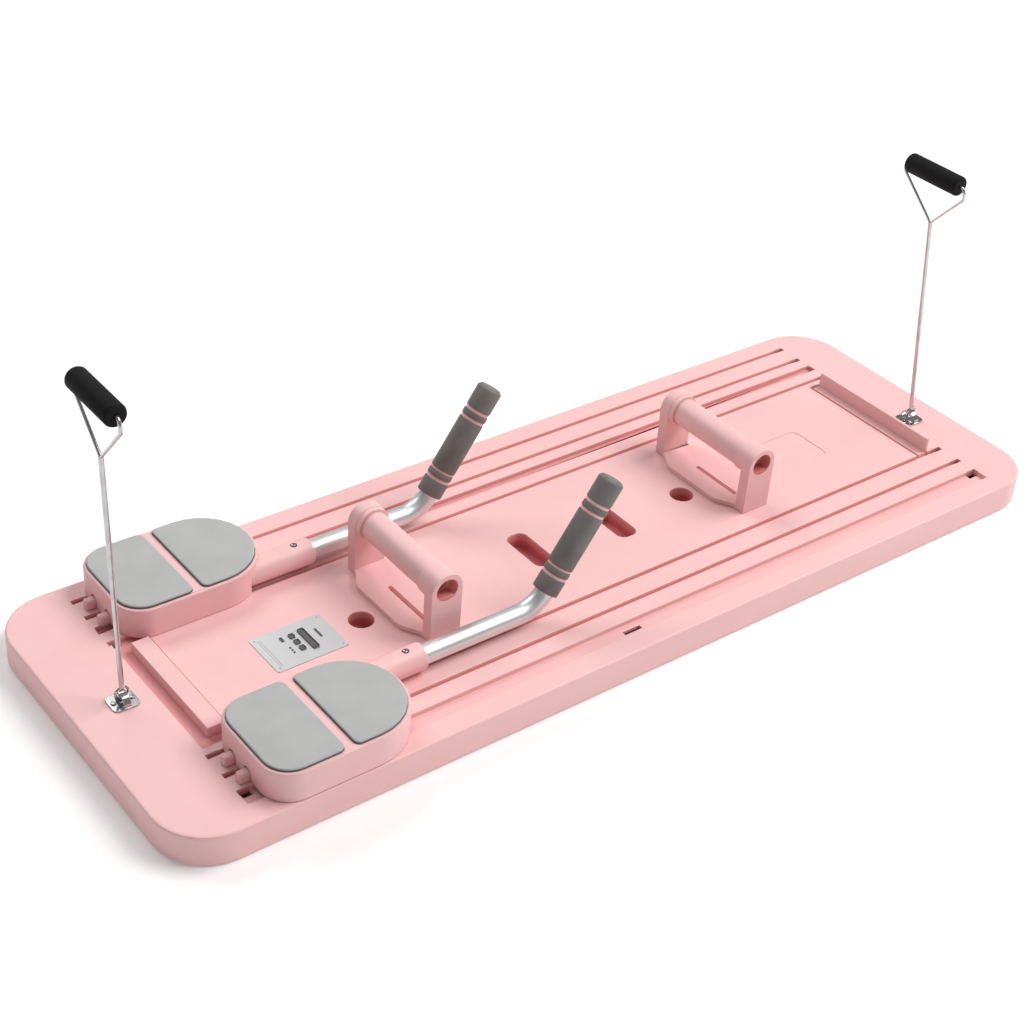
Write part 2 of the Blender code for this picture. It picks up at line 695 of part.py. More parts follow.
def grip(name, holder, y):
    """A moulded sleeve with raised bands, and the grey covers seated between them."""
    x, _, z = tube_path(0)[-2]
    axis = empty(f"{name}_grip_axis", (x, y, z), holder, (0, math.pi / 2 - BEND_ANGLE, 0))
    covers = (GRIP_CUFF, GRIP_LOWER_RING, GRIP_BARREL, GRIP_UPPER_RING, GRIP_CAP)
    outside = [(GRIP_SEAT, 0.001)]
    for below, above in zip(covers, covers[1:]):
        low, high = below[1] + GAP, above[0] - GAP
        outside += [(GRIP_SEAT, low), (GRIP_LAND, low), (GRIP_LAND, high), (GRIP_SEAT, high)]
    outside.append((GRIP_SEAT, SLEEVE_END))
    bore = TUBE_RADIUS + GAP
    sleeve = turned([(bore, SLEEVE_END)] + outside[::-1] + [(bore, 0.001)])
    part(f"{name}_grip_sleeve", sleeve, "pink_plastic", axis)
    seat = GRIP_SEAT + GAP
    names = ("cuff", "lower_ring", "barrel", "upper_ring")
    for piece, (low, high) in zip(names, covers):
        cover = turned(ring_profile(GRIP_RADIUS, seat, low, high))
        part(f"{name}_grip_{piece}", cover, "grey_grip", axis)
    low, high = GRIP_CAP
    hole = 0.0012
    cap = turned((
        (hole, high), (GRIP_RADIUS - 0.0028, high), (GRIP_RADIUS, high - 0.0028), (GRIP_RADIUS, low),
        (seat, low), (seat, SLEEVE_END + GAP), (hole, SLEEVE_END + GAP),
    ))
    part(f"{name}_grip_cap", cap, "grey_grip", axis)


def slider(side, sign):
    name = f"slider_{side}"
    holder = empty(name, (SLIDER_X, sign * SLIDER_Y, BOARD_TOP))
    socket_y = -sign * SOCKET_Y
    slider_housing(name, holder, socket_y)
    slider_base(name, holder, sign * SLIDER_Y)
    slider_pads(name, holder)
    slider_rollers(name, holder)
    tube_socket(name, holder, socket_y)
    push_tube(name, holder, socket_y)
    snap_button(name, holder, socket_y)
    button_spring(name, holder, socket_y)
    grip(name, holder, socket_y)


def tombstone(half_foot, radius, top):
    """An (x, z) outline: upright sides and a half round head centred at height top."""
    head = [
        (radius * math.cos(math.pi * i / 12), top + radius * math.sin(math.pi * i / 12))
        for i in range(13)
    ]
    low = STAND_PLATE[0]
    return [(-half_foot, low), (half_foot, low)] + head


def stand_frame(name, holder):
    low, high = STAND_PLATE
    quarter = [
        (STAND_WAIST, STAND_HALF, 0.002), (STAND_WAIST, 0.059, 0.020), (STAND_BULGE, 0.038, 0.020)
    ]
    right = quarter + [(x, -y, r) for x, y, r in quarter[::-1]]
    left = [(-x, y, r) for x, y, r in right[::-1]]
    frame = flat_solid(filleted(right + left), low, high)
    back_leg = tombstone(STAND_WAIST, STAND_HOOD_RADIUS, STAND_BAR_Z)
    front_leg = tombstone(STAND_WAIST, STAND_BOSS_RADIUS, STAND_BAR_Z)
    join(frame, upright_solid(back_leg, STAND_HALF - STAND_LEG, STAND_HALF))
    join(frame, upright_solid(front_leg, -STAND_HALF, -STAND_HALF + STAND_LEG))
    z, front, back = STAND_BAR_Z, -STAND_HALF, STAND_HALF
    hood_start = back - STAND_HOOD_DEPTH
    hood = cylinder(STAND_HOOD_RADIUS - COLLAR_STEP, (0, hood_start, z), (0, back - 0.002, z), 20)
    boss_end = front + STAND_BOSS_DEPTH
    boss = cylinder(STAND_BOSS_RADIUS - COLLAR_STEP, (0, front + 0.002, z), (0, boss_end, z), 20)
    join(frame, hood, boss)
    bar_ends = (0, hood_start - 0.01, z), (0, back - STAND_LEG + 0.001, z)
    core_ends = (0, front - 0.01, z), (0, back - 0.006, z)
    bore_ends = (0, front - 0.01, z), (0, front + STAND_BORE_DEPTH, z)
    cut(frame, cylinder(STAND_BAR_RADIUS + GAP, *bar_ends, 20))
    cut(frame, cylinder(STAND_CORE_RADIUS + GAP, *core_ends, 12))
    cut(frame, cylinder(STAND_BORE, *bore_ends, 20))
    x, y, half_length, half_width = STAND_SLOT
    slot = rounded_rectangle((x, y), (half_width, half_length), half_width - 0.00001)
    cut(frame, flat_solid(slot, -0.01, 0.02))
    for y in (-PEG_Y, PEG_Y):
        join(frame, cylinder(PEG_RADIUS, (0, y, -PEG_LENGTH), (0, y, high - 0.001), 12))
    part(f"{name}_frame", frame, "pink_plastic", holder)


def stand_bar(name, holder):
    """The sleeve that the hand holds, and the steel core that it turns on."""
    low = -STAND_HALF + STAND_BOSS_DEPTH + GAP
    high = STAND_HALF - STAND_LEG + 0.001 - GAP
    middle = (low + high) / 2
    half = (high - low) / 2
    bore = STAND_CORE_RADIUS + GAP
    sleeve = turned(ring_profile(STAND_BAR_RADIUS, bore, -half, half), 20)
    sleeve.data.transform(Matrix.Rotation(math.pi / 2, 4, "X"))
    part(f"{name}_grip_sleeve", sleeve, "pink_plastic", holder, (0, middle, STAND_BAR_Z))
    ends = -STAND_HALF + STAND_BORE_DEPTH + 0.001, STAND_HALF - 0.006 - GAP
    core = turned(ring_profile(STAND_CORE_RADIUS, STAND_CORE_RADIUS - 0.0014, *ends), 12)
    core.data.transform(Matrix.Rotation(-math.pi / 2, 4, "X"))
    part(f"{name}_core_tube", core, "steel", holder, (0, 0, STAND_BAR_Z))


def stand(side, x):
    name = f"stand_{side}"
    holder = empty(name, (x, STAND_Y, BOARD_TOP))
    stand_frame(name, holder)
    stand_bar(name, holder)


def anchor(name, holder):
    """A plate screwed to the board, with a strap bent over it as an arch."""
    outline = rounded_rectangle((0, 0), ANCHOR_PLATE_HALF, ANCHOR_PLATE_CORNER)
    plate = flat_solid(outline, GAP, ANCHOR_PLATE_TOP)
    for x in (-SCREW_X, SCREW_X):
        cut(plate, cylinder(SCREW_RADIUS + GAP, (x, 0, -0.01), (x, 0, 0.01), 12))
    foot = HINGE_Z - ARCH_OUTER + ARCH_THICKNESS / 2
    width = ARCH_HALF_WIDTH
    arch = cylinder(ARCH_OUTER, (-width, 0, foot), (width, 0, foot), 20)
    inner = ARCH_OUTER - ARCH_THICKNESS
    cut(arch, cylinder(inner, (-0.02, 0, foot), (0.02, 0, foot), 20))
    cut(arch, box((-0.02, -0.02, -0.02), (0.02, 0.02, foot)))
    join(plate, arch)
    part(f"{name}_anchor", plate, "chrome", holder)
    for number, x in enumerate((-SCREW_X, SCREW_X), 1):
        seat = ANCHOR_PLATE_TOP + GAP
        bottom = -SCREW_LENGTH + 2 * GAP
        profile = (
            (0, seat + 0.0012), (SCREW_HEAD_RADIUS * 0.7, seat + 0.0010),
            (SCREW_HEAD_RADIUS, seat), (SCREW_RADIUS, seat), (SCREW_RADIUS, bottom), (0, bottom),
        )
        part(f"{name}_anchor_screw_{number}", turned(profile, 10), "steel", holder, (x, 0, 0))


def pull_rod(name, hinge):
    """An eye round the arch, the rod, and the fork whose top bar carries the handle."""
    eye = [
        (EYE_RADIUS * math.cos(2 * math.pi * i / 14), 0, EYE_RADIUS * math.sin(2 * math.pi * i / 14))
        for i in range(14)
    ]
    rod = swept([(0, 0, EYE_RADIUS), (0, 0, FORK_Z + 0.001)], ROD_RADIUS, bevel_resolution=2)
    half = [
        (0, FORK_Z), (0.0420, FORK_Z + 0.0470), (0.0425, FORK_Z + 0.0530),
        (0.0405, HANDLE_Z - 0.0015), (0.0375, HANDLE_Z),
    ]
    loop = [(0, y, z) for y, z in half] + [(0, -y, z) for y, z in half[:0:-1]]
    join(rod, swept(eye, EYE_WIRE, bevel_resolution=1, closed=True))
    join(rod, swept(loop, FORK_WIRE, bevel_resolution=2, closed=True))
    part(f"{name}_rod", rod, "chrome", hinge)


def pull_handle(name, hinge):
    profile = ring_profile(HANDLE_RADIUS, HANDLE_BORE, -HANDLE_HALF, HANDLE_HALF, 0.0015)
    handle = turned(profile, 16)
    handle.data.transform(Matrix.Rotation(math.pi / 2, 4, "X"))
    part(f"{name}_handle", handle, "black_foam", hinge, (0, 0, HANDLE_Z))


def pull(side, place):
    name = f"pull_{side}"
    holder = empty(name, (*place, BOARD_TOP))
    anchor(name, holder)
    hinge = empty(f"{name}_hinge", (0, 0, HINGE_Z), holder, (0, ROD_LEAN[side], 0))
    pull_rod(name, hinge)
    pull_handle(name, hinge)


clear_scene()
PARTS = bpy.data.collections.new("pilates_reformer")
bpy.context.scene.collection.children.link(PARTS)
MATERIALS = {name: make_material(name) for name in COLOURS}

board_shell()
bottom_cover()
feet()
end_trims()
label_plate()
slider("back", 1)
slider("front", -1)
for stand_side, stand_x in STAND_XS.items():
    stand(stand_side, stand_x)
for pull_side, pull_place in ANCHORS.items():
    pull(pull_side, pull_place)
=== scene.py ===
"""Looks of the home Pilates reformer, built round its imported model. Metres, +Z up."""

import json
import math

import bpy
from mathutils import Matrix, Vector

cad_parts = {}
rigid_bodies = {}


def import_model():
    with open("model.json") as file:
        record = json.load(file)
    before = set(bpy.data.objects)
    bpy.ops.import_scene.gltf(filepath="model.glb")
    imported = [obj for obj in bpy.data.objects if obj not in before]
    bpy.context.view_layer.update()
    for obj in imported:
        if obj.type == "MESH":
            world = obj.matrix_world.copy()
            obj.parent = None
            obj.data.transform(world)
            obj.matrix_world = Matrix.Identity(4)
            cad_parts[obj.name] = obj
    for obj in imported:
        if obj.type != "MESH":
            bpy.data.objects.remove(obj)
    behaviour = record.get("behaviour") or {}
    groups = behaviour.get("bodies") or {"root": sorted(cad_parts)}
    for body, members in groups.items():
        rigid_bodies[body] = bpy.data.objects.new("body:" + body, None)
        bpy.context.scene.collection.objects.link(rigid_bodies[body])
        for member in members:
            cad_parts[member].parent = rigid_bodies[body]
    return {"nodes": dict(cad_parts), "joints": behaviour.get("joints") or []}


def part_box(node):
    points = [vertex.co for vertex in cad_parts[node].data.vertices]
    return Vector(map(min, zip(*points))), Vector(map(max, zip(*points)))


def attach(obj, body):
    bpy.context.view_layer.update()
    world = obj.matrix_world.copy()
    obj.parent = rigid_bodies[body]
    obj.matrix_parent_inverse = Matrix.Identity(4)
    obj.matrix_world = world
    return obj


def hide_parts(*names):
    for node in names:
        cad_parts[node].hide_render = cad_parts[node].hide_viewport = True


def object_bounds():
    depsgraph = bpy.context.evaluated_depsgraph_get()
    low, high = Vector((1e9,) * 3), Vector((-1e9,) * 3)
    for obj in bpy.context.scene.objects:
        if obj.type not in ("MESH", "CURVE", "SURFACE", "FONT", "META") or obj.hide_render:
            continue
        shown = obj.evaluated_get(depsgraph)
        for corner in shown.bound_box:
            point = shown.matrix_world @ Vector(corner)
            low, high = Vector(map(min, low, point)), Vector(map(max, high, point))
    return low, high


SIDES = ("back", "front")
STANDS = ("left", "right")
PULLS = ("left", "right")

# Meshes taken from the model
WELD = 0.000004
FLAT = math.radians(0.4)

# Push tube and grip
TUBE_RADIUS = 0.0105
TUBE_WALL = 0.0015
TUBE_STRAIGHT = 0.186
BEND_RADIUS = 0.040
BEND_ANGLE = math.radians(55.5)
TUBE_RISE = 0.112
BUTTON_HOLE = 0.0034
GRIP_RADIUS = 0.0138
GRIP_SEAT = 0.0120
BARREL_MIDDLE = 0.060  # along the grip, from the end of the tube's bend
GRIP_COVERS = {
    "cuff": (0.0, 0.017), "lower_ring": (0.021, 0.027), "barrel": (0.030, 0.090),
    "upper_ring": (0.094, 0.100),
}
CAP = (0.104, 0.131)
CAP_SEAT = 0.1185  # where the cap's inside meets the end of the sleeve
CAP_HOLE = 0.0012

# Stands
BORE_RADIUS = 0.0125
BORE_DEPTH = 0.014
STEP_DROP = 0.66  # from the bore's middle down to its flat step, in radii
STEP_SET_BACK = 0.0006
STEP_LENGTH = BORE_DEPTH - 0.0010
LINING_SET_BACK = 0.0008
LINING_LENGTH = BORE_DEPTH - 0.0011
LINING_WALL = 0.0004
LINING_FLOOR = 0.0015
LINING_HOLE = 0.0068
SLEEVE_BORE = 0.0066

# Pull handles
ROD_RADIUS = 0.0025
EYE_RADIUS = 0.0060
EYE_WIRE = 0.0013
FORK_WIRE = 0.0018
FORK_HEIGHT = 0.2600
HANDLE_HEIGHT = 0.3205
HANDLE_RADIUS = 0.0110
HANDLE_HALF = 0.036
HANDLE_BORE = 0.0022
ROD_LEAN = {"left": math.radians(-1), "right": math.radians(-8.7)}

# Label, its marks as (along, across, half width, half length), the first two in half labels
INK = 0.00006
INK_LIFT = 0.00003
LABEL_MARKS = (
    (0.27, 0.00, 0.0036, 0.0165), (0.60, 0.10, 0.0011, 0.0070),
    (-0.03, 0.40, 0.0030, 0.0034), (-0.03, 0.04, 0.0030, 0.0034),
    (-0.03, -0.32, 0.0030, 0.0034), (-0.30, 0.42, 0.0015, 0.0034),
    (-0.28, -0.10, 0.0010, 0.0010), (-0.28, -0.24, 0.0010, 0.0010),
    (-0.28, -0.38, 0.0010, 0.0010),
)
RIVET_INSET = 0.0045
RIVET = ((0.0009, -0.0002), (0.0009, 0.0001), (0.0006, 0.00028), (0.0002, 0.00034))

# Camera and light
CAMERA_PLACE = (-1.07412, -1.20955, 1.18737)
CAMERA_TURN = (0.960959, -0.066640, -0.648795)
CAMERA_LENS = 65.671
LIGHT_AIM = Vector((0, 0, 0.05))
LIGHTS = (  # name, place, size, power, tint
    ("key", (3.0, -1.3, 4.3), (3.6, 3.2), 262, (1.0, 0.99, 0.98)),
    ("back", (-0.4, 2.6, 3.2), (2.6, 1.6), 56, (1.0, 1.0, 1.0)),
)

for startup in list(bpy.data.objects):
    bpy.data.objects.remove(startup, do_unlink=True)
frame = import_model()
size_at_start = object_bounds()


# Finishes ------------------------------------------------------------------------------------


class Value:
    """A shader socket that sums and products can be written with."""

    def __init__(self, finish, socket):
        self.finish, self.socket = finish, socket

    def maths(self, operation, *others):
        return self.finish.node("Math", {"operation": operation}, dict(enumerate((self, *others))))

    def __add__(self, other):
        return self.maths("ADD", other)

    def __sub__(self, other):
        return self.maths("SUBTRACT", other)

    def __rsub__(self, other):
        return self * -1 + other

    def __mul__(self, other):
        return self.maths("MULTIPLY", other)

    __radd__, __rmul__ = __add__, __mul__

    def absolute(self):
        return self.maths("ABSOLUTE")

    def between(self, low, high):
        """0 at low and below, 1 at high and above, smooth in the middle."""
        return self.finish.node(
            "MapRange", {"interpolation_type": "SMOOTHSTEP"},
            {"Value": self, "From Min": low, "From Max": high},
        )


class Finish:
    """A material whose nodes are added one call at a time."""

    def __init__(self, name, **constants):
        self.material = bpy.data.materials.new(name)
        self.material.use_nodes = True
        self.tree = self.material.node_tree
        self.shader = self.tree.nodes["Principled BSDF"]
        for socket, value in constants.items():
            self.shader.inputs[socket.replace("_", " ")].default_value = value

    def feed(self, socket, value):
        if isinstance(value, Value):
            self.tree.links.new(value.socket, socket)
        else:
            socket.default_value = value

    def node(self, kind, settings=None, inputs=None, output=0):
        node = self.tree.nodes.new("ShaderNode" + kind)
        for setting, value in (settings or {}).items():
            setattr(node, setting, value)
        for name, value in (inputs or {}).items():
            self.feed(node.inputs[name], value)
        return Value(self, node.outputs[output])

    def place(self, scale=(1, 1, 1), move=(0, 0, 0)):
        where = self.node("TexCoord", output="Object")
        return self.node("Mapping", {}, {"Vector": where, "Scale": scale, "Location": move})

    def axis(self, letter):
        where = self.node("TexCoord", output="Object")
        return self.node("SeparateXYZ", {}, {"Vector": where}, output=letter)

    def noise(self, scale, detail=3.0, stretch=(1, 1, 1), roughness=0.5):
        return self.node("TexNoise", {}, {
            "Vector": self.place(stretch), "Scale": scale, "Detail": detail,
            "Roughness": roughness,
        })

    def cells(self, scale, stretch=(1, 1, 1)):
        return self.node("TexVoronoi", {}, {"Vector": self.place(stretch), "Scale": scale})

    def blend(self, share, first, second):
        settings = {"data_type": "RGBA", "clamp_factor": True}
        return self.node("Mix", settings, {0: share, 6: first, 7: second}, output=2)

    def colour(self, value):
        self.feed(self.shader.inputs["Base Color"], value)

    def roughness(self, value):
        self.feed(self.shader.inputs["Roughness"], value)

    def bump(self, height, depth, strength=1.0):
        inputs = {"Height": height, "Distance": depth, "Strength": strength}
        self.feed(self.shader.inputs["Normal"], self.node("Bump", {}, inputs))


def rgb(red, green, blue):
    return (red, green, blue, 1.0)


PINK_LIGHT = rgb(0.905, 0.560, 0.556)
PINK_DEEP = rgb(0.885, 0.532, 0.530)
# Painted shade: redder, darker pinks for the grooves, and darker still for the wells, slots and
# bores
PINK_GROOVE_SHADE = rgb(0.760, 0.300, 0.300)
PINK_WELL_SHADE = rgb(0.620, 0.190, 0.190)


def board_recess_shade(finish, colour):
    """Painted shade: a redder, darker tone down in the grooves, and darker still in the wells and
    slots.
    """
    high = size_at_start[1]
    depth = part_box("board_shell")[1].z - finish.axis("Z")
    inside_y = (high.y - 0.008 - finish.axis("Y").absolute()).between(0.0, 0.001)
    inside_x = (high.x - 0.030 - finish.axis("X").absolute()).between(0.0, 0.001)
    inside = inside_x * inside_y
    wide_channel = (finish.axis("Y") * -1).between(0.1508, 0.1512)
    # painted shade in the grooves, only a quarter as strong in the wide front channel; the wells
    # and slots get the darkest
    groove_shade = depth.between(0.0008, 0.0040) * (1 - wide_channel * 0.75) * inside
    colour = finish.blend(groove_shade * 0.8, colour, PINK_GROOVE_SHADE)
    return finish.blend(depth.between(0.0052, 0.012) * inside, colour, PINK_WELL_SHADE)


def moulded_plastic(name, light, deep, roughness, shade_painter=None):
    """Moulded plastic: a fine spark-eroded grain, faint flow marks and dull rubbed spots."""
    finish = Finish(name, Specular_IOR_Level=0.45, IOR=1.46)
    flow = finish.noise(5.0, 2.0, (0.6, 1.6, 1.0))
    mottle = finish.noise(60.0, 3.0)
    tone = finish.blend((flow * 0.7 + mottle * 0.3).between(0.35, 0.7), light, deep)
    # the board's finish paints shade into its recesses through this extra colour step
    finish.colour(shade_painter(finish, tone) if shade_painter else tone)
    rub = finish.noise(18.0, 4.0, (0.5, 2.0, 1.0), 0.6)
    finish.roughness(rub.between(0.35, 0.75) * 0.09 + roughness)
    finish.bump(finish.noise(1500.0, 2.0) + finish.noise(260.0, 1.0) * 0.5, 0.00006, 0.35)
    return finish.material


def pad_foam():
    """Dense foam with a skin: fine pores, a speckle, and darker sides, partly the darker foam core
    and partly painted shade.
    """
    finish = Finish("grey_pad", Specular_IOR_Level=0.25, Sheen_Weight=0.12, Sheen_Roughness=0.6)
    speckle = finish.noise(900.0, 2.0)
    cloud = finish.noise(22.0, 3.0)
    tone = (speckle * 0.45 + cloud * 0.55).between(0.38, 0.64)
    skin = finish.blend(tone, rgb(0.430, 0.433, 0.432), rgb(0.478, 0.480, 0.479))
    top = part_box("slider_back_rear_pad")[1].z
    # Painted shade and the darker foam core: the sides below the pad's top go near black
    side = (top - finish.axis("Z")).between(0.0007, 0.0014)
    finish.colour(finish.blend(side, skin, rgb(0.150, 0.146, 0.145)))
    finish.roughness(cloud.between(0.3, 0.7) * 0.1 + 0.72)
    pores = finish.cells(1400.0).between(0.0, 0.5)
    finish.bump(pores + speckle * 0.5, 0.00008, 0.5)
    return finish.material


def drawn_aluminium():
    """A drawn and brushed tube: hair lines that run along it."""
    finish = Finish("aluminium", Metallic=1.0)
    lines = finish.noise(420.0, 4.0, (0.012, 1.0, 0.012), 0.7)
    fine = finish.noise(2600.0, 2.0, (0.01, 1.0, 0.01))
    wear = finish.noise(30.0, 3.0)
    grain = lines * 0.6 + fine * 0.4
    tone = grain.between(0.35, 0.65)
    finish.colour(finish.blend(tone, rgb(0.70, 0.71, 0.72), rgb(0.84, 0.85, 0.86)))
    finish.roughness(grain * 0.14 + wear * 0.06 + 0.34)
    finish.bump(grain, 0.00002, 0.35)
    return finish.material


def grip_rubber():
    """Soft thermoplastic rubber: a matt pebbled skin."""
    finish = Finish("grey_grip", Specular_IOR_Level=0.35, Sheen_Weight=0.08, Sheen_Roughness=0.5)
    cloud = finish.noise(45.0, 3.0)
    pebble = finish.cells(1100.0).between(0.05, 0.6)
    tone = cloud.between(0.35, 0.65)
    finish.colour(finish.blend(tone, rgb(0.165, 0.158, 0.153), rgb(0.195, 0.187, 0.181)))
    finish.roughness(cloud * 0.12 + pebble * 0.06 + 0.5)
    finish.bump(pebble, 0.00006, 0.4)
    return finish.material


def bright_chrome():
    """Plated wire: mirror bright, with faint polishing haze."""
    finish = Finish("chrome", Metallic=1.0)
    haze = finish.noise(70.0, 4.0)
    fine = finish.noise(900.0, 3.0, (1.0, 1.0, 0.2))
    tone = haze.between(0.3, 0.7)
    finish.colour(finish.blend(tone, rgb(0.50, 0.50, 0.51), rgb(0.60, 0.60, 0.61)))
    finish.roughness(haze * 0.06 + fine * 0.05 + 0.10)
    finish.bump(fine, 0.00001, 0.2)
    return finish.material


def foam_rubber():
    """Open foam sleeve: dark, matt and full of small cells."""
    finish = Finish("black_foam", Specular_IOR_Level=0.18)
    cells = finish.cells(900.0).between(0.0, 0.55)
    cloud = finish.noise(120.0, 3.0)
    tone = cells * 0.6 + cloud * 0.4
    finish.colour(finish.blend(tone, rgb(0.004, 0.004, 0.004), rgb(0.011, 0.011, 0.012)))
    finish.roughness(cloud * 0.12 + 0.7)
    finish.bump(cells + cloud * 0.6, 0.00025, 0.7)
    return finish.material


def label_metal():
    """Satin foil with a crosswise brushing."""
    finish = Finish("label_metal", Metallic=0.65)
    lines = finish.noise(900.0, 3.0, (0.03, 1.0, 1.0), 0.6)
    cloud = finish.noise(40.0, 2.0)
    tone = lines * 0.6 + cloud * 0.4
    finish.colour(finish.blend(tone, rgb(0.64, 0.655, 0.655), rgb(0.74, 0.75, 0.75)))
    finish.roughness(lines * 0.15 + 0.33)
    finish.bump(lines, 0.00002, 0.3)
    return finish.material


def printed_ink():
    """Screen-printed ink, slightly broken over the brushing below it."""
    finish = Finish("label_ink", Specular_IOR_Level=0.4)
    grain = finish.noise(1800.0, 3.0)
    tone = grain.between(0.4, 0.75)
    finish.colour(finish.blend(tone, rgb(0.09, 0.085, 0.09), rgb(0.17, 0.16, 0.17)))
    finish.roughness(grain * 0.2 + 0.4)
    finish.bump(grain, 0.00002, 0.3)
    return finish.material


def sole_rubber():
    """Hard rubber feet with a little dust on them."""
    finish = Finish("black_rubber", Specular_IOR_Level=0.3)
    grain = finish.noise(700.0, 4.0)
    dust = finish.noise(60.0, 4.0)
    tone = dust.between(0.45, 0.8)
    finish.colour(finish.blend(tone, rgb(0.022, 0.022, 0.023), rgb(0.06, 0.058, 0.055)))
    finish.roughness(dust * 0.15 + 0.7)
    finish.bump(grain, 0.0001, 0.4)
    return finish.material


def turned_steel():
    """Zinc plated steel with fine turning marks."""
    finish = Finish("steel", Metallic=1.0)
    marks = finish.noise(1300.0, 3.0, (1.0, 0.2, 1.0))
    cloud = finish.noise(90.0, 3.0)
    tone = cloud.between(0.3, 0.7)
    finish.colour(finish.blend(tone, rgb(0.30, 0.29, 0.29), rgb(0.42, 0.41, 0.41)))
    finish.roughness(marks * 0.15 + cloud * 0.1 + 0.2)
    finish.bump(marks, 0.00002, 0.3)
    return finish.material


FINISHES = {
    "board_plastic": moulded_plastic("board_plastic", PINK_LIGHT, PINK_DEEP, 0.42, board_recess_shade),
    "pink_plastic": moulded_plastic("pink_plastic", PINK_LIGHT, PINK_DEEP, 0.42),
    # Painted shade: the grooves' darker pinks, put on the step and cup inside the stands' bores
    "shade_painted_plastic": moulded_plastic("shade_painted_plastic", PINK_GROOVE_SHADE, PINK_WELL_SHADE, 0.45),
    "grey_pad": pad_foam(),
    "aluminium": drawn_aluminium(),
    "grey_grip": grip_rubber(),
    "chrome": bright_chrome(),
    "black_foam": foam_rubber(),
    "label_metal": label_metal(),
    "label_ink": printed_ink(),
    "black_rubber": sole_rubber(),
    "steel": turned_steel(),
    "white_nylon": moulded_plastic(
        "white_nylon", rgb(0.74, 0.74, 0.71), rgb(0.68, 0.68, 0.65), 0.42
    ),
}


# Modelling -----------------------------------------------------------------------------------


def middle(node):
    low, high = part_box(node)
    return (low + high) / 2


def alone(piece):
    """Only this piece is selected and active."""
    bpy.ops.object.select_all(action="DESELECT")
    bpy.context.view_layer.objects.active = piece
    piece.select_set(True)


def editing(piece):
    """Opens a piece in edit mode with all of it selected."""
    alone(piece)
    bpy.ops.object.mode_set(mode="EDIT")
    bpy.ops.mesh.select_all(action="SELECT")


def done():
    bpy.ops.object.mode_set(mode="OBJECT")


def settle(piece, place=Matrix()):
    """Puts a piece's place into its mesh, with the object at the origin."""
    piece.data.transform(place @ piece.matrix_basis)
    piece.matrix_basis = Matrix()
    return piece


def modify(piece, kind, **settings):
    alone(piece)
    modifier = piece.modifiers.new(kind.lower(), kind)
    for setting, value in settings.items():
        setattr(modifier, setting, value)
    bpy.ops.object.modifier_apply(modifier=modifier.name)


def smooth(piece, angle=40):
    alone(piece)
    bpy.ops.object.shade_smooth_by_angle(angle=math.radians(angle))


def round_off(piece, width, segments=2, angle=38):
    modify(
        piece, "BEVEL", width=width, segments=segments, limit_method="ANGLE",
        angle_limit=math.radians(angle), use_clamp_overlap=False, loop_slide=True,
        miter_outer="MITER_SHARP",
    )


def finished(piece, name, body, finish, *nodes):
    """Names a piece, gives it its finish and its place in the model."""
    piece.name = piece.data.name = name
    piece.data.materials.clear()
    piece.data.materials.append(FINISHES[finish])
    for polygon in piece.data.polygons:
        polygon.material_index = 0
    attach(piece, body)
    if nodes:
        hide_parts(*nodes)
    return piece


def welded_copy(node, ending):
    """A node's own mesh, merged, with its flat faces joined; it is left in edit mode."""
    piece = bpy.data.objects.new(node + ending, frame["nodes"][node].data.copy())
    bpy.context.scene.collection.objects.link(piece)
    editing(piece)
    bpy.ops.mesh.remove_doubles(threshold=WELD)
    bpy.ops.mesh.customdata_custom_splitnormals_clear()
    bpy.ops.mesh.dissolve_limited(angle_limit=FLAT)
    return piece


def moulding(node, body, finish, width=0.00027, segments=2, angle=38, smooth_angle=40):
    """A node's own shape with its sharp edges rounded."""
    piece = welded_copy(node, "_form")
    bpy.ops.mesh.select_all(action="SELECT")
    bpy.ops.mesh.mark_sharp(clear=True)
    done()
    round_off(piece, width, segments, angle)
    smooth(piece, smooth_angle)
    modify(piece, "WEIGHTED_NORMAL", weight=70, keep_sharp=True)
    return finished(piece, node + "_form", body, finish, node)


def turned(profile, sides=64):
    """A (radius, height) profile about Z, drawn out from a circle ring by ring; its ends are left
    open.
    """
    radius, height = profile[0]
    bpy.ops.object.select_all(action="DESELECT")
    bpy.ops.mesh.primitive_circle_add(vertices=sides, radius=radius, location=(0, 0, height))
    piece = settle(bpy.context.object)
    editing(piece)
    for next_radius, next_height in profile[1:]:
        rise = {"value": (0, 0, next_height - height)}
        bpy.ops.mesh.extrude_region_move(TRANSFORM_OT_translate=rise)
        share = next_radius / radius
        bpy.ops.transform.resize(value=(share, share, 1), center_override=(0, 0, next_height))
        radius, height = next_radius, next_height
    return piece


def solid_turned(profile, sides=64):
    """A profile turned into a solid, with a flat face at each end."""
    piece = turned(profile, sides)
    bpy.ops.mesh.select_all(action="SELECT")
    bpy.ops.mesh.fill_holes(sides=0)
    bpy.ops.mesh.normals_make_consistent(inside=False)
    done()
    return piece


def ring_turned(profile, sides=64):
    """A profile that goes round the wall of a ring, closed from its last point to its first."""
    piece = turned(profile, sides)
    bpy.ops.mesh.select_all(action="DESELECT")
    bpy.ops.mesh.select_mode(type="EDGE")
    bpy.ops.mesh.select_non_manifold()
    bpy.ops.mesh.bridge_edge_loops()
    bpy.ops.mesh.select_mode(type="VERT")
    bpy.ops.mesh.select_all(action="SELECT")
    bpy.ops.mesh.normals_make_consistent(inside=False)
    done()
    return piece


def eased_ring(inner, outer, low, high, corner, shoulder):
    """The profile of a ring whose outer edges are eased in two steps."""
    return (
        (inner, low), (outer - corner, low), (outer - shoulder, low + shoulder),
        (outer, low + corner), (outer, high - corner), (outer - shoulder, high - shoulder),
        (outer - corner, high), (inner, high),
    )


